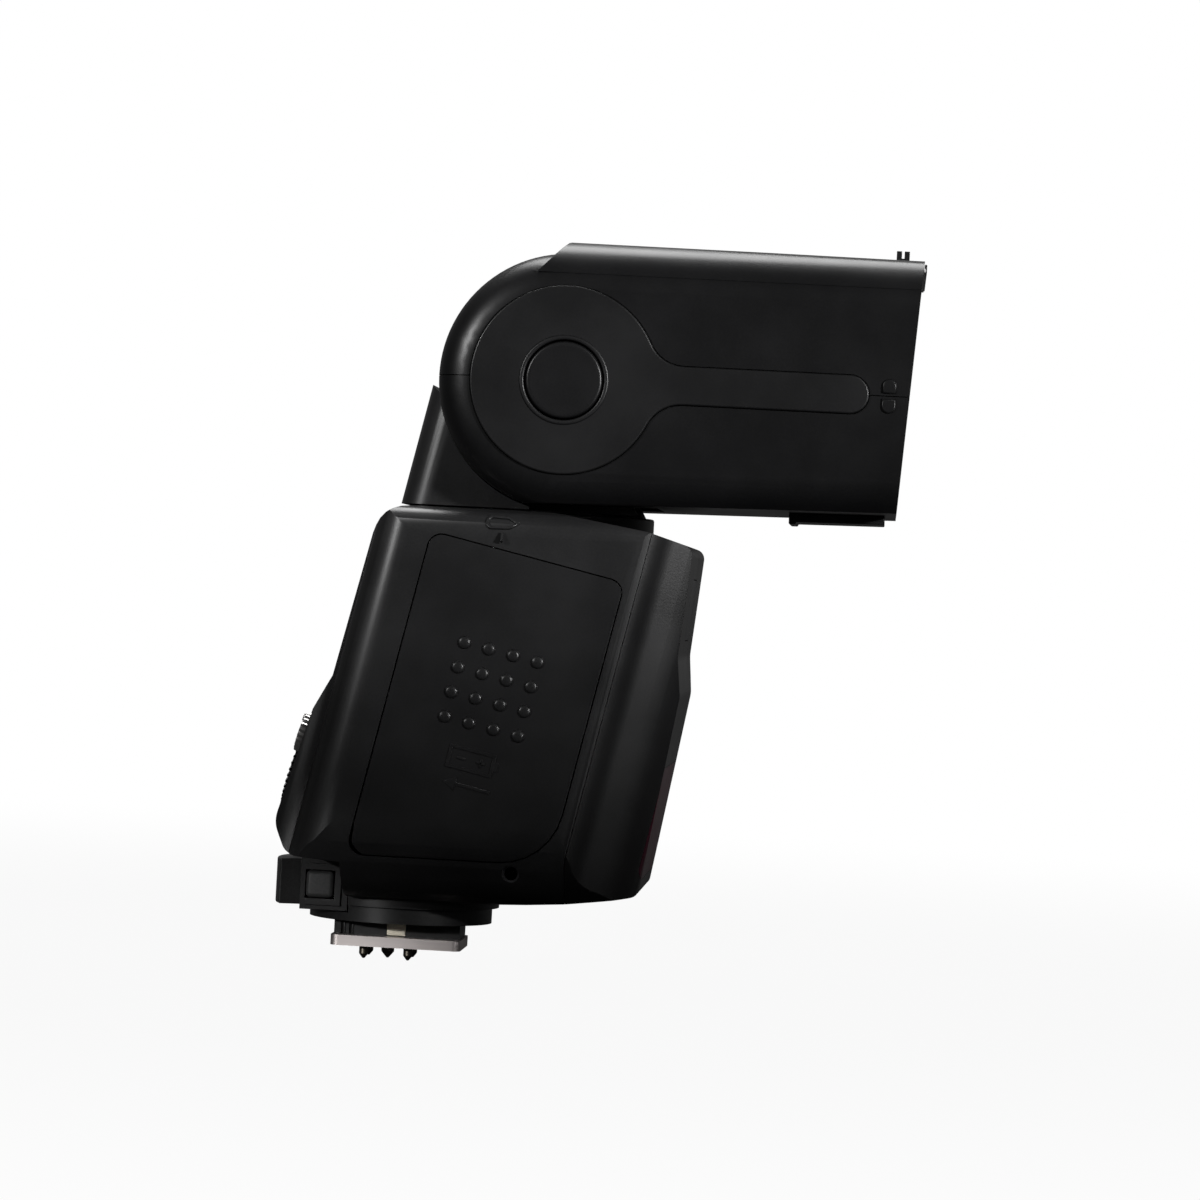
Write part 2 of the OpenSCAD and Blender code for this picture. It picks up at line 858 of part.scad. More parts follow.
module swivel_shaft() {
    color("silver") translate([swivel_x, 0, shaft_low]) difference() {
        cylinder(r = shaft_r, h = neck_low - shaft_low);
        translate([0, 0, -1]) cylinder(r = shaft_r - 3.5, h = 20);
    }
}

module swivel_washer() {
    color("gray") translate([swivel_x, 0, shaft_low + 0.2]) difference() {
        cylinder(r = shaft_r + 3.4, h = 1.4);
        translate([0, 0, -1]) cylinder(r = shaft_r, h = 4);
    }
}

// Head, tilting on the neck

cheek_y0 = slot_half_w + 0.5;
cheek_y1 = cheek_y0 + 3;
slot_lift = 9.4;
front_x = tilt_x + head_reach;
front_z = tilt_z + head_r;
panel_step = 3.5;
top_fall = 0.6;

// Half of the height of the round rear's core, which runs on inside the prism
core_half_h = 8;

// Upper half of the head about its tilt axis, moved inward by t: a round rear and a prism to x1
module head_half(t, x1) {
    w = head_half_w - t;
    r = head_r - t;
    e = head_edge_r - t;
    difference() {
        rotate([90, 0, 0]) rotate_extrude($fn = 96)
            polygon(rounded([[0, -w, 0], [r, -w, e], [r, w, e], [0, w, 0]]));
        box([0, -far, core_half_h], [far, far, far]);
    }
    along_x(rounded([[-w, -0.5, 0], [w, -0.5, 0], [w, r, e], [-w, r, e]]), 0, x1);
}

// The head's form above or below the tilt axis, without the cut of its front face
module head_form(t, x1, upper) {
    if (upper)
        head_half(t, x1);
    else
        rotate([0, -under_rise, 0]) mirror([0, 0, 1]) difference() {
            head_half(t, x1);
            // The flat underside
            box([-far, -far, head_drop - t], [far, far, far]);
        }
}

module at_tilt() {
    translate([tilt_x, 0, tilt_z]) children();
}

// Frame of the slanted front face: +X out of it, origin at its upper edge
module at_front() {
    translate([front_x, 0, front_z]) rotate([0, front_slant, 0]) children();
}

// Raised panel on the head's top, with a sloping step at its rear and the same long edges, larger
module top_panel() {
    raise = top_rise + top_fall / 2;
    top = tilt_z + head_r + raise;
    foot = tilt_z + head_r - 4;
    step_x = tilt_x - panel_step;
    end_x = front_x + 5;
    intersection() {
        along_y(
            [[step_x - 2.6, foot], [end_x, foot], [end_x, top - top_fall], [step_x + 2.9, top]], -far, far
        );
        along_x(rounded(box_outline(-head_half_w, head_half_w, foot - 20, top, head_edge_r + raise)), 0, far);
    }
}

// Half-space below or above the head's parting line
module half_space(upper) {
    translate([-far, -far, tilt_z + (upper ? seam / 2 : -seam / 2 - far)]) cube([2 * far, 2 * far, far]);
}

// One head shell, before its own openings
module head_shell(upper) {
    difference() {
        intersection() {
            union() {
                difference() {
                    union() {
                        at_tilt() head_form(0, 80, upper);
                        if (upper) top_panel();
                    }
                    at_tilt() head_form(head_wall, 120, upper);
                }
                for (side = [0, 1]) mirror([0, side, 0])
                    bar_y(head_r - head_wall + 0.5, tilt_x, tilt_z, cheek_y0, cheek_y1);
            }
            half_space(upper);
        }
        at_front() box([0, -far, -far], [far, far, far]);
        bar_y(tilt_pin_r + fit_gap, tilt_x, tilt_z, -30, 30);
        for (side = [0, 1]) mirror([0, side, 0]) side_cover_space(-seam, cover_floor);
        bar_y(push_r + run_gap, tilt_x, tilt_z, -50, -30);
        box([-far, -slot_half_w, -far], [tilt_x, slot_half_w, tilt_z + slot_lift]);
        box([0, -slot_half_w, -far], [tilt_x + slot_reach, slot_half_w, tilt_z - 8]);
    }
}

module head_lower_case() {
    color("dimgray") head_shell(false);
}

panel_slot_z0 = tilt_z + head_r - 1.25;
panel_slot_z1 = panel_slot_z0 + 2.2;
panel_x0 = 41;
panel_slide_half_w = 27.5;
pull_half_w = 6;

module head_upper_case() {
    slot_w = panel_slide_half_w + 0.3;
    color("dimgray") difference() {
        head_shell(true);
        box([panel_x0 - 0.5, -slot_w, panel_slot_z0], [far, slot_w, panel_slot_z1]);
        box([pull_x0 - 0.5, -pull_half_w - 0.4, panel_slot_z0], [far, pull_half_w + 0.4, far]);
    }
}

// Disc with a bar running forward, joined by hollow blends
module cover_outline(g) {
    r = disc_r - g;
    half = bar_half_w - g;
    blend = blend_r + g;
    // Centre of the blend between the disc and the bar, and the turn at which the blend leaves the disc
    bx = sqrt(pow(r + blend, 2) - pow(half + blend, 2));
    first = 180 + atan2(half + blend, bx);
    fillet = concat(
        [0.99 * r * [-cos(first), -sin(first)]],
        [
            for (k = [1:5])
                let (a = first + (270 - first) * k / 6)
                [bx + blend * cos(a), half + blend + blend * sin(a)]
        ],
        [[bx + 0.4, half - 0.05]]
    );
    circle(r = r);
    translate([0, -half]) square([bar_reach - bar_half_w, 2 * half]);
    translate([bar_reach - bar_half_w, 0]) circle(r = half);
    polygon(concat(
        [[0, 0]], [for (k = [0:6]) [fillet[k][0], -fillet[k][1]]], [for (k = [6:-1:0]) fillet[k]]
    ));
}

cover_y = head_half_w + 0.6;
cover_floor = head_half_w - 1;

// Space of the side cover on the +Y side, from its floor outwards
module side_cover_space(g, y0) {
    translate([tilt_x, cover_y, tilt_z]) rotate([90, 0, 0])
        linear_extrude(height = cover_y - y0) cover_outline(g);
}

module side_cover_left() {
    color("black") side_cover_space(0, cover_floor + 0.05);
}

module side_cover_right() {
    color("black") difference() {
        mirror([0, 1, 0]) side_cover_space(0, cover_floor + 0.05);
        bar_y(push_r + run_gap, tilt_x, tilt_z, -50, -30);
    }
}

module bounce_lock_button() {
    color("black") bar_y(push_r, tilt_x, tilt_z, -cover_y - 0.2, -cover_y + 5);
}

// Front of the head

lens_half_w = 31;
lens_top = -6;
lens_low = -40.5;

module front_frame() {
    color("black") intersection() {
        difference() {
            at_tilt() for (upper = [true, false]) head_form(head_wall + 0.15, 120, upper);
            at_front() box([-far, -lens_half_w, lens_low], [far, lens_half_w, lens_top]);
        }
        at_front() box([-5, -far, -far], [-0.6, far, -3.5]);
    }
}

module fresnel_lens() {
    color("whitesmoke") at_front()
        box([-3.4, -lens_half_w + 0.1, lens_low + 0.1], [-1.2, lens_half_w - 0.1, lens_top - 0.1]);
}

rail_x0 = 71;
rail_x1 = 89.3;
rail_half_w = 12;

module accessory_rail() {
    top = -head_drop - 0.02;
    x0 = rail_x0 - tilt_x;
    color("black") at_tilt() rotate([0, -under_rise, 0]) {
        box([x0, -rail_half_w, top - 1.7], [rail_x1 - tilt_x, rail_half_w, top]);
        box([x0, -rail_half_w, top - 2.1], [x0 + 1.4, rail_half_w, top - 1.6]);
    }
}

panel_thick = 0.75;
pull_x0 = 89.4;
pull_x1 = 91.9;
pull_top = 139.1;

// Thin panels that are pulled out of the head's top
module wide_panel() {
    z = panel_slot_z0 + 0.25;
    color("whitesmoke")
        box([panel_x0, -panel_slide_half_w, z], [front_x - 0.3, panel_slide_half_w, z + panel_thick]);
}

module catchlight_panel() {
    z = panel_slot_z0 + 1.25;
    color("gray") difference() {
        union() {
            box([panel_x0, -panel_slide_half_w, z], [front_x + 0.4, panel_slide_half_w, z + panel_thick]);
            box([front_x + 0.25, -24, z], [front_x + 0.6, 24, pull_top - 3.8]);
            box([pull_x0, -pull_half_w, z], [pull_x1, pull_half_w, pull_top]);
        }
        box([pull_x0 + 1, -far, pull_top - 1.4], [pull_x0 + 1.5, far, far]);
    }
}

// Zoom: a motor turns the lead screw, which drives the lamp carriage

screw_y_head = 29.5;
screw_z_head = 118;
rod_z_head = 101;
lead_r = 1.5;
carriage_x0 = 55;
carriage_x1 = 58;
reflector_x1 = 74;

module zoom_motor() {
    color("silver") {
        bar_x(5, screw_y_head, screw_z_head, 34, 47);
        // Fixed rods that guide the carriage
        bar_x(1.2, -screw_y_head, screw_z_head, 47, 88.5);
        bar_x(1.2, -screw_y_head, rod_z_head, 47, 88.5);
    }
}

module lead_screw() {
    color("gold") bar_x(lead_r, screw_y_head, screw_z_head, 47.3, 88);
}

module zoom_carriage() {
    color("black") difference() {
        box([carriage_x0, -33, 96], [carriage_x1, 33, 123.5]);
        bar_x(lead_r + fit_gap, screw_y_head, screw_z_head, 0, far);
        for (z = [screw_z_head, rod_z_head]) bar_x(1.2 + fit_gap, -screw_y_head, z, 0, far);
    }
}

module reflector() {
    mouth = reflector_half_h;
    depth = reflector_x1 - carriage_x1;
    inner_half_w = reflector_half_w - 1;
    color("silver") at_tilt() translate([carriage_x1 - tilt_x, 0, 0]) difference() {
        along_y([[0, -5], [depth, -mouth], [depth, mouth], [0, 5]], -reflector_half_w, reflector_half_w);
        along_y([[1, -4], [40, -mouth - 14], [40, mouth + 14], [1, 4]], -inner_half_w, inner_half_w);
    }
}

module flash_tube() {
    half_len = reflector_half_w - 1.2;
    color("whitesmoke") bar_y(tube_r, carriage_x1 + 4.2, tilt_z, -half_len, half_len);
}

// The assembly

rear_case();
front_case();
control_panel();
lcd_window();
lcd_module();
main_board();
main_capacitor();
battery_cage();
battery_cells();
battery_contacts();
assist_lamp_window();
assist_lamp_led();
sensor_window();
confirm_lamp();
terminal_sockets();
swivel_collar();
bracket_insert();
case_screws();
foot_flange();
lock_housing();
foot_block();
foot_plate();
ground_contact();
foot_screws();
contact_springs();
contact_pins();
lock_lever();
lock_pin();
lock_release_button();
door_hinge_arm();
door_hinge_pin();
battery_door();
select_dial();
set_button();
power_switch();
mode_button();
zoom_button();
sync_button();
light_button();
test_button();
terminal_cover();
neck_yoke();
swivel_shaft();
swivel_washer();
tilt_pins();
head_upper_case();
head_lower_case();
side_cover_right();
side_cover_left();
front_frame();
fresnel_lens();
accessory_rail();
zoom_carriage();
reflector();
flash_tube();
lead_screw();
zoom_motor();
bounce_lock_button();
wide_panel();
catchlight_panel();
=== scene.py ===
import math

import bmesh
import bpy
from mathutils import Matrix, Vector


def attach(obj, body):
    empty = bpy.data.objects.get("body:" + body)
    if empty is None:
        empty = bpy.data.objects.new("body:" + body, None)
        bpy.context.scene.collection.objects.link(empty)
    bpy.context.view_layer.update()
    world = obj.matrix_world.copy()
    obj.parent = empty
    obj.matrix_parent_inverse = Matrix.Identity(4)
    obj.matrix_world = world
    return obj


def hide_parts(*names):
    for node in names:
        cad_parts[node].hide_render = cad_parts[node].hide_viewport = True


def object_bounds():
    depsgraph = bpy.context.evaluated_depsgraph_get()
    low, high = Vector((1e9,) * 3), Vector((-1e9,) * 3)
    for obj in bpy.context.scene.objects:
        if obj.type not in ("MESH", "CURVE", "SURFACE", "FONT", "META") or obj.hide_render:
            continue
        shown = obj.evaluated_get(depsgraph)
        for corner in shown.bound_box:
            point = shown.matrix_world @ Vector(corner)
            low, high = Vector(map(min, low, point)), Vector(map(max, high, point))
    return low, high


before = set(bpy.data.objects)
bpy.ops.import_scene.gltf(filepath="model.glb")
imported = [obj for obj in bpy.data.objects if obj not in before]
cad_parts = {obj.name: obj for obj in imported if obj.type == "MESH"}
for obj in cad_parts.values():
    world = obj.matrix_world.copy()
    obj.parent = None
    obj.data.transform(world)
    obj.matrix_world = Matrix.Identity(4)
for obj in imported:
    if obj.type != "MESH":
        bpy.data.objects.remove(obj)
cad_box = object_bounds()
scene = bpy.context.scene
scene.view_settings.view_transform = "Standard"
MM = 0.001

# Camera: level with the middle of the flash and square to its right side, turned a little
# towards the front. It is rolled by three degrees, so the flash leans in the picture.
turn = math.radians(3.5)
roll = math.radians(3.05)
distance = 0.9
aim = Vector((35.5, 0, 69.1)) * MM
sight = Vector((-math.sin(turn), math.cos(turn), 0))
level = Vector((math.cos(turn), math.sin(turn), 0))
rise = Vector((0, 0, 1))
across = level * math.cos(roll) + rise * math.sin(roll)
upward = rise * math.cos(roll) - level * math.sin(roll)
lens_data = bpy.data.cameras.new("camera")
lens_data.lens = 139.05
lens_data.sensor_width = 36
lens_data.clip_start = 0.01
lens_data.clip_end = 50
camera = bpy.data.objects.new("camera", lens_data)
facing = Matrix((across, upward, -sight)).transposed().to_4x4()
camera.matrix_world = Matrix.Translation(aim - sight * distance) @ facing
scene.collection.objects.link(camera)
scene.camera = camera


# Studio: a pale sweep of floor before a white backdrop, a soft box above and behind, and spots from both
# sides and at the foot. The room is dim to the object, so that black plastic keeps its depth.
class Sock:
    """A socket of a node tree, with arithmetic that adds Math nodes."""

    def __init__(self, tree, socket=None):
        self.tree = tree
        self.socket = socket

    def node(self, kind, settings, inputs, output=0):
        """Adds a node, with its settings first and then the values or links of its inputs."""
        made = self.tree.nodes.new(kind)
        for name, value in settings.items():
            setattr(made, name, value)
        for name, value in inputs.items():
            if isinstance(value, Sock):
                self.tree.links.new(value.socket, made.inputs[name])
            else:
                made.inputs[name].default_value = value
        return Sock(self.tree, made.outputs[output] if made.outputs else None)

    def maths(self, operation, first, second):
        """Works out one operation on two values."""
        return self.node("ShaderNodeMath", {"operation": operation}, {0: first, 1: second})

    def __add__(self, other):
        return self.maths("ADD", self, other)

    def __radd__(self, other):
        return self.maths("ADD", other, self)

    def __sub__(self, other):
        return self.maths("SUBTRACT", self, other)

    def __rsub__(self, other):
        return self.maths("SUBTRACT", other, self)

    def __mul__(self, other):
        return self.maths("MULTIPLY", self, other)

    def __rmul__(self, other):
        return self.maths("MULTIPLY", other, self)

    def smooth(self, low, high):
        """Goes from 0 at low to 1 at high, with soft ends."""
        return self.node("ShaderNodeMapRange", {"interpolation_type": "SMOOTHSTEP"},
                         {"Value": self, "From Min": low, "From Max": high})

    def mix(self, first, second):
        """Mixes two colours by this value."""
        return self.node("ShaderNodeMix", {"data_type": "RGBA"}, {"Factor": self, 6: first, 7: second}, 2)

    def noise(self, place, scale, detail, roughness):
        """Soft noise over a place."""
        return self.node("ShaderNodeTexNoise", {},
                         {"Vector": place, "Scale": scale, "Detail": detail, "Roughness": roughness})

    def ray(self, kind):
        """1 for rays of one kind and 0 for the rest."""
        return self.node("ShaderNodeLightPath", {}, {}, kind)


def blank(name):
    """A new material without nodes, with a start for its tree and its Object coordinates."""
    made = bpy.data.materials.new(name)
    made.use_nodes = True
    made.node_tree.nodes.clear()
    base = Sock(made.node_tree)
    return made, base, base.node("ShaderNodeTexCoord", {}, {}, "Object")


def backdrop_share(base):
    """How much of the white backdrop a mirrored or a transmitted ray meets."""
    gloss_share = 0.05
    return base.ray("Is Glossy Ray") * gloss_share + base.ray("Is Transmission Ray")


paper_white = (1, 1, 1, 1)
world = bpy.data.worlds.new("studio")
world.use_nodes = True
scene.world = world
world.node_tree.nodes.clear()
sky = Sock(world.node_tree)
heading = sky.node("ShaderNodeTexCoord", {}, {}, "Generated")
behind = sky.node("ShaderNodeSeparateXYZ", {}, {0: heading}, "Y").smooth(0.3, 0.95)
above = sky.node("ShaderNodeSeparateXYZ", {}, {0: heading}, "Z").smooth(-0.2, 0.8)
room = 0.02 + above * 0.06 + behind * 0.03
seen = sky.ray("Is Camera Ray")
met = backdrop_share(sky) * behind + room
brightness = sky.node("ShaderNodeClamp", {}, {0: seen + met * (1 - seen)})
backdrop = sky.node("ShaderNodeBackground", {}, {"Color": paper_white, "Strength": brightness})
sky.node("ShaderNodeOutputWorld", {}, {"Surface": backdrop})

# Each lamp has its place and target in millimetres, a spot's angle in degrees, its size in metres and watts
for name, stand, target, angle, size, power in (
    ("overhead_box", (30, 280, 760), (35, 0, 69), None, (0.6, 0.34), 5.4),
    ("rear_spot", (-505, -520, 330), (20, -35, 112), 14, 0.045, 11.5),
    ("front_spot", (570, -530, 245), (32, -35, 112), 14, 0.045, 29),
    ("foot_spot", (-300, -620, 120), (-9, -12, -2), 3.8, 0.015, 7.5),
):
    lamp_data = bpy.data.lights.new(name, "SPOT" if angle else "AREA")
    if angle:
        lamp_data.spot_size = math.radians(angle)
        lamp_data.spot_blend = 1
        lamp_data.shadow_soft_size = size
    else:
        lamp_data.shape = "RECTANGLE"
        lamp_data.size, lamp_data.size_y = size
    lamp_data.energy = power
    lamp = bpy.data.objects.new(name, lamp_data)
    start = Vector(stand) * MM
    aimed = (Vector(target) * MM - start).to_track_quat("-Z", "Y").to_matrix().to_4x4()
    lamp.matrix_world = Matrix.Translation(start) @ aimed
    scene.collection.objects.link(lamp)

floor_half = 8
floor_level = Matrix.Translation((0, 0, cad_box[0][2]))
shape = bmesh.new()
bmesh.ops.create_grid(shape, x_segments=1, y_segments=1, size=floor_half, matrix=floor_level)
mesh = bpy.data.meshes.new("floor")
shape.to_mesh(mesh)
shape.free()
floor = bpy.data.objects.new("floor", mesh)
scene.collection.objects.link(floor)
pale, paint, place = blank("floor_paint")
far = paint.node("ShaderNodeVectorMath", {"operation": "LENGTH"}, {0: place}, "Value").smooth(0.12, 0.6)
beyond = paint.node("ShaderNodeSeparateXYZ", {}, {0: place}, "Y").smooth(0.1, 0.8)
matt = paint.node("ShaderNodeBsdfDiffuse", {}, {"Color": (0.05, 0.05, 0.05, 1)})
white = paint.node("ShaderNodeEmission", {}, {"Color": paper_white, "Strength": 1.0})
shown = paint.ray("Is Camera Ray") * (0.94 + far * 0.06) + backdrop_share(paint) * beyond
cover = paint.node("ShaderNodeMixShader", {}, {0: shown, 1: matt, 2: white})
paint.node("ShaderNodeOutputMaterial", {}, {"Surface": cover})
mesh.materials.append(pale)


# Body shells: two black mouldings with a fine spark-eroded grain, screwed together along a slanted
# seam, with the control panel let into the rear. Their edges are eased as the tool left them.
def moulding(name, colour, roughness, grain, depth, specular):
    """Moulded plastic: fine grain over a faintly uneven tone and gloss."""
    made, base, place = blank(name)
    cloud = base.noise(place, 70, 3, 0.55)
    pores = base.noise(place, grain, 2, 0.6)
    dark = (*(c * 0.82 for c in colour), 1)
    light = (*(c * 1.22 for c in colour), 1)
    tone = (cloud * 0.5 + pores * 0.5).smooth(0.35, 0.65).mix(dark, light)
    relief = base.node("ShaderNodeBump", {}, {"Strength": 1.0, "Distance": depth, "Height": pores})
    skin = base.node("ShaderNodeBsdfPrincipled", {}, {
        "Base Color": tone, "Roughness": cloud * 0.14 + (roughness - 0.07), "Normal": relief,
        "Specular IOR Level": specular,
    })
    base.node("ShaderNodeOutputMaterial", {}, {"Surface": skin})
    return made


def keep(name, shape, finish, body, nodes=(), weighted=True):
    """Makes a bmesh a piece that rides on a body and stands for CAD nodes."""
    mesh = bpy.data.meshes.new(name)
    for face in shape.faces:
        face.smooth = True
    shape.to_mesh(mesh)
    shape.free()
    mesh.materials.append(finish)
    piece = bpy.data.objects.new(name, mesh)
    scene.collection.objects.link(piece)
    if weighted:
        evened = piece.modifiers.new("even_normals", "WEIGHTED_NORMAL")
        evened.keep_sharp = True
    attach(piece, body)
    if nodes:
        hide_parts(*nodes)
    return piece


def solid_of(node):
    """A merged copy of a CAD solid, with the triangles of its flat faces joined."""
    shape = bmesh.new()
    shape.from_mesh(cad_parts[node].data)
    bmesh.ops.remove_doubles(shape, verts=shape.verts, dist=1e-6)
    bmesh.ops.dissolve_limit(shape, angle_limit=math.radians(0.6), verts=shape.verts, edges=shape.edges)
    return shape


def ease(shape, width, segments=2, crisp=()):
    """Rounds the sharp edges of a solid by a width in millimetres, apart from those that stay crisp."""
    least_angle = math.radians(28)
    sharp = [e for e in shape.edges if e.is_manifold and e.calc_face_angle() > least_angle and e not in crisp]
    for edge in crisp:
        edge.smooth = False
    bmesh.ops.bevel(shape, geom=sharp, offset=width * MM, offset_type="OFFSET", affect="EDGES",
                    segments=segments, profile=0.5, material=-1, clamp_overlap=True)
    return shape


def eased(name, node, width, finish, body, segments=2):
    """Keeps a CAD solid with its edges rounded as a piece."""
    return keep(name, ease(solid_of(node), width, segments), finish, body, [node])


lean = math.radians(12)
seam_x, seam_bend, seam_reach = 33.5 * MM, 20 * MM, 0.1 * MM


def on_upper_seam(edge):
    """Whether an edge lies on the leaning part of the seam."""
    return all(
        v.co.z > seam_bend - seam_reach
        and abs(v.co.x - seam_x - (v.co.z - seam_bend) * math.tan(lean)) < seam_reach
        for v in edge.verts)


# The body's black is set lighter than the door's black: painted light, against the door's painted shade.
body_grain = moulding("body_grain", (0.016, 0.016, 0.0165), 0.33, 2600, 0.000007, 0.5)
front_grain = moulding("front_grain", (0.009, 0.009, 0.0094), 0.33, 2600, 0.000016, 0.5)
for node, finish in (("rear_case", body_grain), ("front_case", front_grain), ("control_panel", front_grain)):
    shell = solid_of(node)
    upper_seam = {e for e in shell.edges if on_upper_seam(e)}
    keep(node + "_shell", ease(shell, 0.3, crisp=upper_seam), finish, "body", [node])


# Battery door: one moulding with the body's grain, hung on two hinge arms inside the case. Sixteen
# domed pips give the thumb a grip, over a raised battery sign and an arrow for the way it slides.
def slab(outline, low, high, rim, turn, segments=2, hole=()):
    """Prism over a flat outline in millimetres, with a rounded upper rim, turned to its place."""
    shape = bmesh.new()
    edges = []
    for loop in (outline, hole):
        ring = [shape.verts.new((x * MM, y * MM, low * MM)) for x, y in loop]
        edges += [shape.edges.new((ring[k - 1], ring[k])) for k in range(len(ring))]
    bmesh.ops.triangle_fill(shape, use_beauty=True, edges=edges)
    grown = bmesh.ops.extrude_face_region(shape, geom=shape.faces[:])["geom"]
    lifted = [v for v in grown if isinstance(v, bmesh.types.BMVert)]
    bmesh.ops.translate(shape, verts=lifted, vec=(0, 0, (high - low) * MM))
    bmesh.ops.recalc_face_normals(shape, faces=shape.faces)
    bmesh.ops.dissolve_limit(shape, angle_limit=math.radians(0.1), verts=shape.verts, edges=shape.edges)
    if rim:
        near_top, least_angle = (high - 0.001) * MM, 1
        top = [e for e in shape.edges
               if e.calc_face_angle() > least_angle and all(v.co.z > near_top for v in e.verts)]
        bmesh.ops.bevel(shape, geom=top, offset=rim * MM, offset_type="OFFSET", affect="EDGES",
                        segments=segments, profile=0.5, material=-1, clamp_overlap=True)
    bmesh.ops.transform(shape, matrix=turn, verts=shape.verts)
    return shape


def lathe(profile, turn, steps=48):
    """Solid of revolution about local Z, from points of radius and height in millimetres."""
    shape = bmesh.new()
    line = [shape.verts.new((r * MM, 0, z * MM)) for r, z in profile]
    edges = [shape.edges.new(pair) for pair in zip(line, line[1:])]
    bmesh.ops.spin(shape, geom=line + edges, cent=(0, 0, 0), axis=(0, 0, 1), angle=math.tau, steps=steps,
                   use_merge=True)
    bmesh.ops.remove_doubles(shape, verts=shape.verts, dist=1e-7)
    bmesh.ops.recalc_face_normals(shape, faces=shape.faces)
    bmesh.ops.transform(shape, matrix=turn, verts=shape.verts)
    return shape


def join(shapes):
    """One bmesh that holds several."""
    whole = bmesh.new()
    for shape in shapes:
        spare = bpy.data.meshes.new("spare")
        shape.to_mesh(spare)
        shape.free()
        whole.from_mesh(spare)
        bpy.data.meshes.remove(spare)
    return whole


def arc(centre, radius, start, end, steps):
    """Points of an arc, with its angles in degrees."""
    angles = [math.radians(start + (end - start) * k / steps) for k in range(steps + 1)]
    return [(centre[0] + radius * math.cos(a), centre[1] + radius * math.sin(a)) for a in angles]


def rounded_box(x0, x1, y0, y1, r, steps=5):
    """Outline of a rectangle with round corners."""
    corners = (
        ((x1 - r, y0 + r), -90), ((x1 - r, y1 - r), 0), ((x0 + r, y1 - r), 90), ((x0 + r, y0 + r), 180),
    )
    return [point for centre, start in corners for point in arc(centre, r, start, start + 90, steps)]


# The door's black is a darker copy of the body's: painted shade on the door.
door_skin_painted_shade = moulding("door_skin_painted_shade", (0.012, 0.012, 0.0125), 0.35, 2600, 0.000007, 0.45)
eased("battery_door_moulding", "battery_door", 0.3, door_skin_painted_shade, "battery_door")
door_face = -35 * MM
to_right = Matrix.Rotation(math.radians(90), 4, "X")
on_door = Matrix.Translation((0, door_face, 0)) @ Matrix.Rotation(lean, 4, "Y") @ to_right
pip = [(0, 0.5), (0.6, 0.48), (0.95, 0.4), (1.15, 0.24), (1.24, 0), (1.26, -0.3)]
pip_rows, pip_columns = 4, 4
pip_top, pip_step_down, pip_step_across = 61.15, 4.77, 4.73
pips = []
for row in range(pip_rows):
    for column in range(pip_columns):
        spot = Vector((pip_step_across * column, pip_top - pip_step_down * row, 0)) * MM
        pips.append(lathe(pip, on_door @ Matrix.Translation(spot), 24))
keep("door_pips", join(pips), door_skin_painted_shade, "battery_door")
cell_rear, cell_front, cell_low, cell_high, stroke = 2.4, 11.4, 37.9, 42.3, 0.6
cell_mid = (cell_low + cell_high) / 2
signs = [
    rounded_box(cell_rear, cell_front, cell_high - stroke, cell_high, 0.2),
    rounded_box(cell_rear, cell_front, cell_low, cell_low + stroke, 0.2),
    rounded_box(cell_rear, cell_rear + stroke, cell_low + 0.4, cell_high - 0.4, 0.2),
    rounded_box(cell_front - stroke, cell_front, cell_low + 0.4, cell_high - 0.4, 0.2),
    rounded_box(cell_front - 0.1, cell_front + 0.8, cell_mid - 0.9, cell_mid + 0.9, 0.25),
    rounded_box(4.2, 5.8, cell_mid - 0.25, cell_mid + 0.25, 0.15),
    rounded_box(8, 9.6, cell_mid - 0.25, cell_mid + 0.25, 0.15),
    rounded_box(8.55, 9.05, cell_mid - 0.8, cell_mid + 0.8, 0.15),
    [(2.8, 35.2), (5.2, 33.9), (5.2, 34.9), (11.8, 34.9), (11.8, 35.5), (5.2, 35.5), (5.2, 36.5)],
]
sign_foot, sign_height, sign_rim = -0.2, 0.22, 0.08
keep("door_sign", join([slab(sign, sign_foot, sign_height, sign_rim, on_door) for sign in signs]),
     door_skin_painted_shade, "battery_door")


# Index mark: a pointer in raised outline on the rounded top edge, over a short line, against which the
# head's swivel is read. It is part of the body's moulding.
edge_angle, edge_r = math.radians(30), 5
edge_centre = Vector((18.7, -30, 80))
mark_place = edge_centre + Vector((0, -math.cos(edge_angle), math.sin(edge_angle))) * edge_r
on_edge = Matrix.Translation(mark_place * MM) @ Matrix.Rotation(math.radians(90) - edge_angle, 4, "X")
outer = arc((-1.7, 0), 1.5, 110, 250, 8) + [(1.2, -1.3), (3.3, 0), (1.2, 1.3)]
inner = arc((-1.6, 0), 1.05, 110, 250, 8) + [(1, -0.85), (2.45, 0), (1, 0.85)]
keep("swivel_index", join([
    slab(outer, -0.5, 0.3, 0.12, on_edge, 2, inner),
    slab(rounded_box(-0.2, 0.2, -3.9, -2, 0.15), -0.7, 0.14, 0.06, on_edge),
]), body_grain, "body")


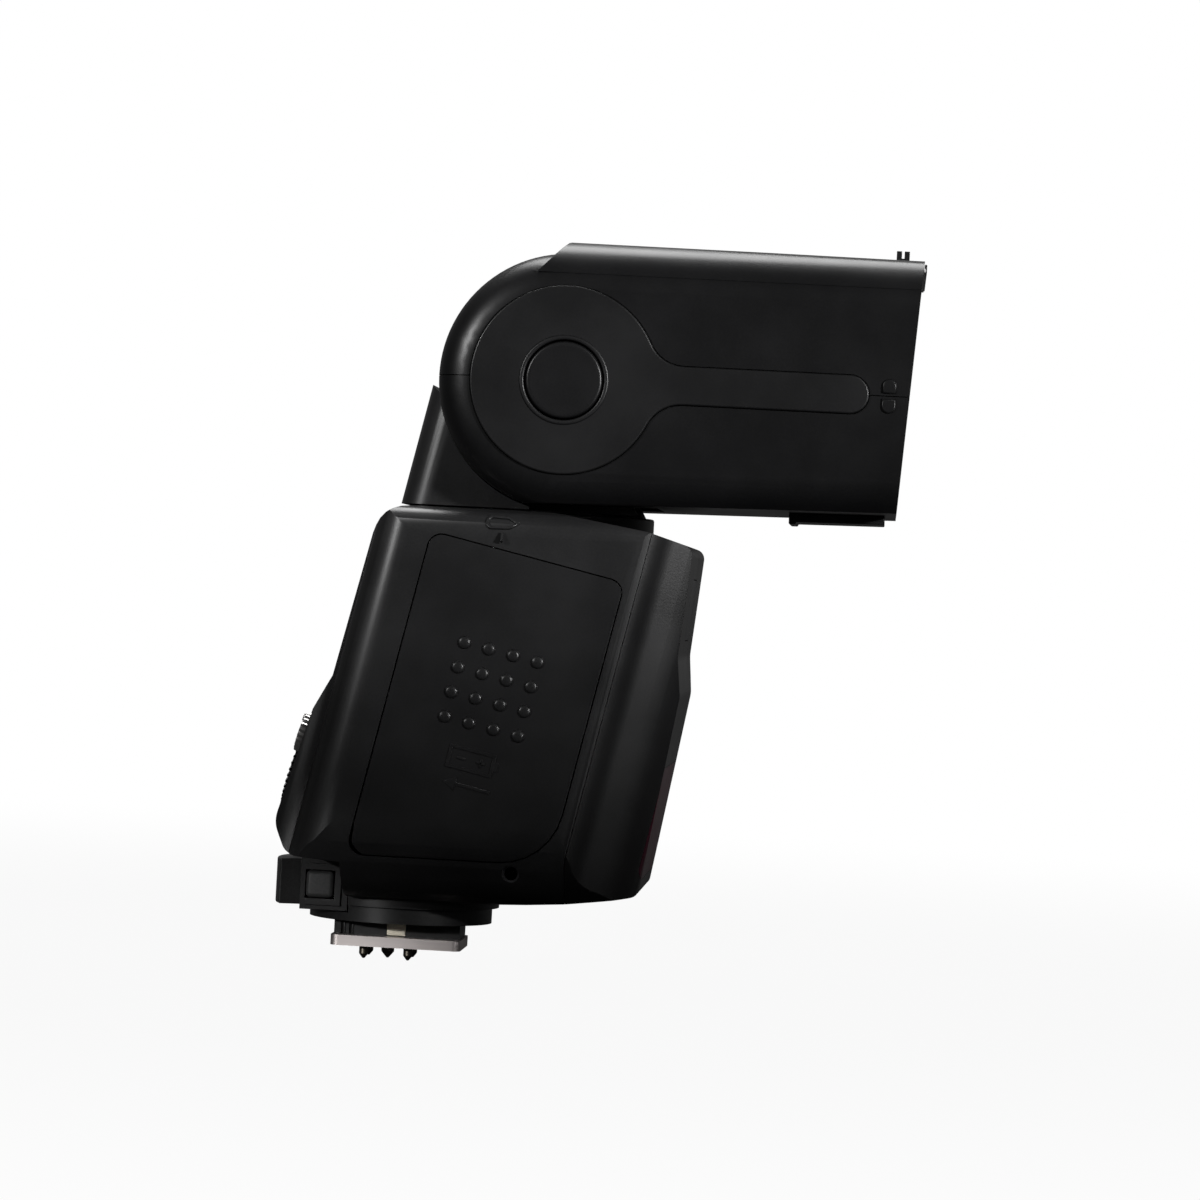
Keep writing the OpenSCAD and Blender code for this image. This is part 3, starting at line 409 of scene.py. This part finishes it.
# Shoe foot: a plated steel plate under a black neck and flange, held by screws from below. Sprung
# contacts stand out of the insert, and a flat earth contact lies on each side of the neck.
def metal(name, colour, roughness, streak):
    """Bright metal with fine drawn streaks and a slightly uneven polish."""
    made, base, place = blank(name)
    drawn = base.node("ShaderNodeMapping", {}, {"Vector": place, "Scale": (0.04, 1, 1)})
    lines = base.noise(drawn, streak, 3, 0.6)
    cloud = base.noise(place, 160, 3, 0.55)
    dull = (*(c * 0.86 for c in colour), 1)
    tone = (lines * 0.6 + cloud * 0.4).smooth(0.3, 0.7).mix(dull, (*colour, 1))
    relief = base.node("ShaderNodeBump", {}, {"Strength": 0.5, "Distance": 0.000004, "Height": lines})
    skin = base.node("ShaderNodeBsdfPrincipled", {}, {
        "Base Color": tone, "Metallic": 1.0, "Normal": relief,
        "Roughness": cloud * 0.12 + lines * 0.08 + (roughness - 0.1),
    })
    base.node("ShaderNodeOutputMaterial", {}, {"Surface": skin})
    return made


foot_plating = metal("foot_plating", (0.86, 0.79, 0.77), 0.5, 900)
contact_gold = metal("contact_gold", (0.95, 0.89, 0.75), 0.58, 900)
pin_metal = metal("pin_metal", (0.3, 0.27, 0.22), 0.35, 900)
satin_black = moulding("satin_black", (0.016, 0.016, 0.0165), 0.38, 1500, 0.000006, 0.45)
eased("foot_plate_pressing", "foot_plate", 0.45, foot_plating, "body", 3)
eased("foot_block_moulding", "foot_block", 0.15, satin_black, "body")
eased("foot_flange_moulding", "foot_flange", 0.3, satin_black, "body")
eased("earth_contacts", "ground_contact", 0.2, contact_gold, "body")
eased("shoe_contacts", "contact_pins", 0.12, pin_metal, "contact_pins")


# Shoe lock: a lever under the body swings round the foot and lowers the lock pin, and a button in a
# raised rim lets it go. The lever and its housing are black mouldings, the pin is steel.
# The lever and the release cap get a grey much lighter than the black plastic: painted light for the shade
# they sit in under the body.
lock_skin_painted_light = moulding("lock_skin_painted_light", (0.055, 0.055, 0.0555), 0.42, 2600, 0.000005, 0.5)
eased("lock_lever_moulding", "lock_lever", 0.35, lock_skin_painted_light, "lock_lever")
eased("lock_housing_moulding", "lock_housing", 0.25, body_grain, "body")
eased("lock_release_cap", "lock_release_button", 0.9, lock_skin_painted_light, "lock_release_button", 3)
eased("lock_pin_turning", "lock_pin", 0.2, foot_plating, "lock_pin")


# Swivel collar and neck: a satin ring in the body's top, and the grained cradle that turns on it and
# carries the head on two steel pins.
eased("swivel_collar_ring", "swivel_collar", 0.4, satin_black, "body")
eased("neck_moulding", "neck_yoke", 0.5, body_grain, "neck")


# Head shells: an upper and a lower moulding that meet along the middle of the sides, with a small
# latch mark across the joint at the front.
# The head's black is the darkest: partly the head's own deeper black, partly painted shade that offsets the
# stronger lamp light the head gets.
head_grain_and_painted_shade = moulding("head_grain_and_painted_shade", (0.005, 0.005, 0.0054), 0.35, 2600, 0.000007, 0.36)
for node in ("head_upper_case", "head_lower_case"):
    eased(node + "_shell", node, 0.3, head_grain_and_painted_shade, "head")
head_face = -37.4 * MM
tilt = Vector((28.9, 0, 109.65)) * MM
on_head = Matrix.Translation((0, head_face, 0)) @ to_right
latch_x, latch_r, latch_low, latch_centre, parting = 89.4, 1.3, 0.5, 1.9, tilt.z / MM
latch = []
for side, start in ((1, 0), (-1, 180)):
    crest = arc((latch_x, parting + side * latch_centre), latch_r, start, start + 180, 14)
    base_z = parting + side * latch_low
    ends = [(latch_x - side * latch_r, base_z), (latch_x + side * latch_r, base_z)]
    latch.append(slab(crest + ends, -0.3, 0.5, 0.3, on_head, 3))
keep("head_latch_marks", join(latch), head_grain_and_painted_shade, "head")


# Side covers: a smooth satin disc with a bar running forward, let into each side of the head over the
# tilt joint. The right one has the bounce lock button in its middle.
disc_r, bar_half, bar_reach, blend = 17.6, 3.6, 56.8, 7.0
blend_x = math.sqrt((disc_r + blend) ** 2 - (bar_half + blend) ** 2)
swing = math.degrees(math.atan2(bar_half + blend, blend_x))
cover_edge = (
    arc((0, 0), disc_r, swing, 360 - swing, 96)
    + arc((blend_x, -bar_half - blend), blend, 180 - swing, 90, 12)[1:]
    + arc((bar_reach - bar_half, 0), bar_half, -90, 90, 24)
    + arc((blend_x, bar_half + blend), blend, -90, swing - 180, 12)[:-1]
)
cover_top, cover_depth, cover_rim = 38 * MM, 1.4, 0.35
cover_skin = moulding("cover_skin", (0.006, 0.006, 0.0064), 0.38, 2600, 0.000005, 0.42)
push_r, push_gap = 7.2, 0.3
push_hole = arc((0, 0), push_r + push_gap, 0, 352.5, 47)
for side, name in ((1, "side_cover_right"), (-1, "side_cover_left")):
    turned = Matrix.Rotation(math.radians(90 * side), 4, "X")
    outline = cover_edge if side == 1 else [(x, -y) for x, y in reversed(cover_edge)]
    on_side = Matrix.Translation(tilt + Vector((0, -side * cover_top, 0))) @ turned
    shape = slab(outline, -cover_depth, 0, cover_rim, on_side, 3, push_hole if side == 1 else ())
    keep(name + "_moulding", shape, cover_skin, "head", [name])


# Bounce lock: a satin cap that is pushed in to free the tilt. It sits in the middle of the right side
# cover, inside a low rim of that cover.
on_cover = Matrix.Translation(tilt + Vector((0, -cover_top, 0))) @ to_right
cap = [(0, 0.02), (4.6, 0.04), (6.2, 0.12), (6.7, 0.19), (7, 0.1), (push_r, -0.3), (push_r, -4.8), (0, -4.8)]
keep("bounce_lock_cap", lathe(cap, on_cover, 72), head_grain_and_painted_shade, "bounce_lock_button",
     ["bounce_lock_button"])
rim = [(7.5, -0.6), (7.5, 0.02), (7.7, 0.15), (8.1, 0.17), (8.4, 0.04), (8.5, -0.6), (7.5, -0.6)]
keep("bounce_lock_rim", lathe(rim, on_cover, 72), cover_skin, "head")


# Head front: a black frame holds a clear lens with moulded prism ribs, and a rail under the chin takes
# clip-on accessories. The lens is moulded in clear acrylic.
def clear(name, colour, roughness, index):
    """Clear or tinted plastic or glass, with a faintly uneven polish."""
    made, base, place = blank(name)
    cloud = base.noise(place, 120, 3, 0.55)
    tone = cloud.smooth(0.3, 0.7).mix((*(c * 0.94 for c in colour), 1), (*colour, 1))
    skin = base.node("ShaderNodeBsdfPrincipled", {}, {
        "Base Color": tone, "Roughness": cloud * 0.1 + (roughness - 0.05),
        "Transmission Weight": 1.0, "IOR": index,
    })
    base.node("ShaderNodeOutputMaterial", {}, {"Surface": skin})
    return made


eased("front_frame_moulding", "front_frame", 0.2, satin_black, "head")
eased("accessory_rail_moulding", "accessory_rail", 0.25, satin_black, "head")
front_slope = math.radians(3.4)
front_corner = Vector((94.65, 0, 133.7)) * MM
on_front = Matrix.Translation(front_corner) @ Matrix.Rotation(front_slope, 4, "Y") @ to_right
lens_top, lens_low, lens_half, ribs = -6.1, -40.4, 30.9, 24
lens_back, lens_face, rib_root, rib_tip = -3.4, -1.25, -1.7, -1.22
ribbed = [(lens_back, lens_low), (lens_face, lens_low)]
pitch = (lens_top - lens_low) / ribs
for rib in range(ribs):
    foot = lens_low + pitch * rib
    ribbed += [(rib_root, foot + pitch * 0.12), (rib_tip, foot + pitch * 0.9)]
ribbed += [(lens_face, lens_top), (lens_back, lens_top)]
lens_acrylic = clear("lens_acrylic", (0.95, 0.96, 0.96), 0.12, 1.49)
keep("ribbed_lens", slab(ribbed, -lens_half, lens_half, 0, on_front), lens_acrylic, "head",
     ["fresnel_lens"], False)


# Pull-out panels: a clear wide-angle panel and a white catchlight panel lie in a slot in the head's
# top. The white one ends in a black lip and a two-pronged tab to pull it by.
eased("wide_panel_sheet", "wide_panel", 0.12, lens_acrylic, "wide_panel")
panel_white = moulding("panel_white", (0.78, 0.78, 0.77), 0.42, 1800, 0.000004, 0.5)
black_from = 86 * MM
sheet = ease(solid_of("catchlight_panel"), 0.12)
for face in sheet.faces:
    face.material_index = 1 if face.calc_center_median().x > black_from else 0
keep("catchlight_sheet", sheet, panel_white, "catchlight_panel",
     ["catchlight_panel"]).data.materials.append(satin_black)
lip_half = 24
lip = rounded_box(94.8, 95.24, 133.7, 135.4, 0.2)
keep("pull_lip", slab(lip, -lip_half, lip_half, 0.15, to_right), satin_black, "catchlight_panel")


# Zooming lamp: a mirrored trough and a glass tube on a black carriage, which a small motor drives to
# and fro on a lead screw and two guide rods behind the lens.
def dress(finish, *nodes):
    """Gives CAD nodes that are shown as they are a finish."""
    for node in nodes:
        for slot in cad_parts[node].material_slots:
            slot.material = finish


mirror = metal("mirror", (0.9, 0.9, 0.9), 0.14, 400)
steel = metal("steel", (0.62, 0.62, 0.63), 0.32, 900)
tube_glass = clear("tube_glass", (0.97, 0.97, 0.96), 0.06, 1.46)
inner_black = moulding("inner_black", (0.022, 0.022, 0.023), 0.55, 1500, 0.00001, 0.4)
dress(mirror, "reflector")
dress(tube_glass, "flash_tube")
dress(inner_black, "zoom_carriage")
dress(contact_gold, "lead_screw")
dress(steel, "zoom_motor", "tilt_pins", "swivel_shaft", "swivel_washer")


# Rear controls: a smoked window over the display, four rubber buttons under it, and below them a
# notched dial round its set button, a silver on and off switch and the red test button.
smoke = clear("smoke", (0.2, 0.2, 0.21), 0.1, 1.49)
display = moulding("display", (0.26, 0.29, 0.24), 0.4, 1200, 0.000002, 0.5)
rubber = moulding("rubber", (0.02, 0.02, 0.021), 0.72, 2000, 0.00001, 0.3)
red_lens = moulding("red_lens", (0.16, 0.008, 0.014), 0.24, 900, 0.000002, 0.5)
green_lens = moulding("green_lens", (0.03, 0.3, 0.06), 0.24, 900, 0.000002, 0.5)
print_white = moulding("print_white", (0.7, 0.7, 0.7), 0.55, 1500, 0.000002, 0.3)
switch_silver = metal("switch_silver", (0.66, 0.65, 0.64), 0.3, 900)
eased("display_window", "lcd_window", 0.2, smoke, "body")
dress(display, "lcd_module")
for node, width, finish, slot in (
    ("mode_button", 0.5, rubber, "rubber_black"), ("zoom_button", 0.5, rubber, "rubber_black"),
    ("sync_button", 0.5, rubber, "rubber_black"), ("light_button", 0.5, rubber, "rubber_black"),
    ("set_button", 0.5, satin_black, "control_plastic"),
    ("power_switch", 0.12, switch_silver, "switch_metal"), ("test_button", 0.4, red_lens, "lamp_red"),
):
    eased(node + "_cap", node, width, finish, node)
eased("confirm_lamp_lens", "confirm_lamp", 0.25, green_lens, "body")

bump_lean = math.atan2(6.4, 21.6)
bump_p = -15.8 * math.cos(bump_lean) - 45.8 * math.sin(bump_lean)


def on_bump(y, q):
    """Frame of a place on the rear controls: X up, Z out."""
    return (Matrix.Rotation(bump_lean, 4, "Y") @ Matrix.Translation(Vector((bump_p, y, q)) * MM)
            @ Matrix.Rotation(math.radians(-90), 4, "Y"))


dial_teeth, dial_tip, dial_root, dial_bore = 44, 9.3, 8.95, 5
tooth_step = math.tau / dial_teeth
on_dial = on_bump(0, 27)
notched = []
for k in range(dial_teeth):
    for radius, angle in ((dial_tip, k * tooth_step), (dial_root, (k + 0.5) * tooth_step)):
        notched.append((radius * math.cos(angle), radius * math.sin(angle)))
crown = [slab(notched, 0.3, 2.2, 0.1, on_dial, 2, arc((0, 0), dial_bore, 0, 350, 35))]
tooth = rounded_box(7.2, 9.2, -0.3, 0.3, 0.15, 2)
for k in range(dial_teeth):
    spoke = on_dial @ Matrix.Rotation(k * tooth_step, 4, "Z")
    crown.append(slab(tooth, 2.1, 2.68, 0.12, spoke, 1))
keep("select_dial_cap", join(crown), satin_black, "select_dial", ["select_dial"])
bolt = [(1.9, -0.5), (0.25, 1.1), (0.15, 0.2), (-1.9, 0.6), (-0.25, -1.1), (-0.15, -0.2)]
keep("test_sign", slab(bolt, 0.96, 1.02, 0, on_bump(19, 34)), print_white, "test_button")
dot = [(0, 3.14), (0.8, 3.14), (0.8, 3), (0, 3)]
keep("set_sign", lathe(dot, on_dial, 32), print_white, "set_button")
on_switch = on_bump(-12.2, 34)
power_ring = arc((0, 0), 1.5, 35, 325, 24) + arc((0, 0), 1.1, 325, 35, 24)
power_bar = rounded_box(0.3, 1.9, -0.2, 0.2, 0.1)
keep("power_sign", join([slab(mark, -0.1, 0.05, 0, on_switch) for mark in (power_ring, power_bar)]),
     print_white, "body")


# Left side: a soft rubber flap over the two sockets. It is moulded in one piece and held by a bead at
# its front edge.
eased("terminal_flap", "terminal_cover", 0.2, rubber, "terminal_cover")
dress(inner_black, "terminal_sockets")


# Front windows: a deep red window over the focus-assist lamp and a smoked one over the remote sensor,
# both moulded in tinted acrylic and let flush into the front shell.
red_window = moulding("red_window", (0.045, 0.003, 0.012), 0.3, 900, 0.000002, 0.4)
eased("assist_window", "assist_lamp_window", 0.2, red_window, "body")
dark_window = moulding("dark_window", (0.004, 0.004, 0.006), 0.3, 900, 0.000002, 0.4)
eased("remote_window", "sensor_window", 0.2, dark_window, "body")
led_white = moulding("led_white", (0.7, 0.7, 0.68), 0.3, 900, 0.000002, 0.5)
dress(led_white, "assist_lamp_led")


# Screws and bush: plated screws with cross recesses hold the shells and the foot from below, and a
# threaded bush low on the right side takes a bracket.
def crossed(radius, height, turn):
    """Screw head of a height with a cross recess, its face at 0 in the turned frame."""
    arm, reach, recess_floor = radius * 0.17, radius * 0.62, 0.15 - height
    cross = []
    for cos, sin in ((1, 0), (0, 1), (-1, 0), (0, -1)):
        for x, y in ((reach, -arm), (reach, arm), (arm, arm)):
            cross.append((x * cos - y * sin, x * sin + y * cos))
    disc = arc((0, 0), radius, 0, 350, 35)
    return [slab(disc, recess_floor, 0, 0.12, turn, 2, cross), slab(disc, -height, recess_floor, 0, turn)]


def facing_down(x, y, z):
    """Frame of a place in millimetres, with its Z down."""
    return Matrix.Translation(Vector((x, y, z)) * MM) @ Matrix.Rotation(math.pi, 4, "X")


foot_heads = []
for x in (-10.3, 10.3):
    for y in (-4.2, 4.2):
        foot_heads += crossed(1.4, 0.9, facing_down(x, y, 0.3))
keep("foot_screw_heads", join(foot_heads), steel, "body", ["foot_screws"])
case_heads = []
for y in (-16, 16):
    case_heads += crossed(2.3, 1, facing_down(40, y, 12.9))
keep("case_screw_heads", join(case_heads), steel, "body", ["case_screws"])
dark_steel = metal("dark_steel", (0.12, 0.12, 0.125), 0.45, 900)
dress(dark_steel, "bracket_insert")


# Inside the body: four cells in a moulded cage between sprung contact strips, the circuit board, and
# the storage capacitor in its printed sleeve.
cell_sleeve = moulding("cell_sleeve", (0.2, 0.2, 0.21), 0.35, 900, 0.000002, 0.5)
board_green = moulding("board_green", (0.01, 0.1, 0.05), 0.4, 1500, 0.000006, 0.5)
can_sleeve = moulding("can_sleeve", (0.03, 0.035, 0.06), 0.35, 900, 0.000002, 0.5)
dress(inner_black, "battery_cage", "door_hinge_arm")
dress(cell_sleeve, "battery_cells")
dress(board_green, "main_board")
dress(can_sleeve, "main_capacitor")
dress(steel, "battery_contacts", "contact_springs", "door_hinge_pin")
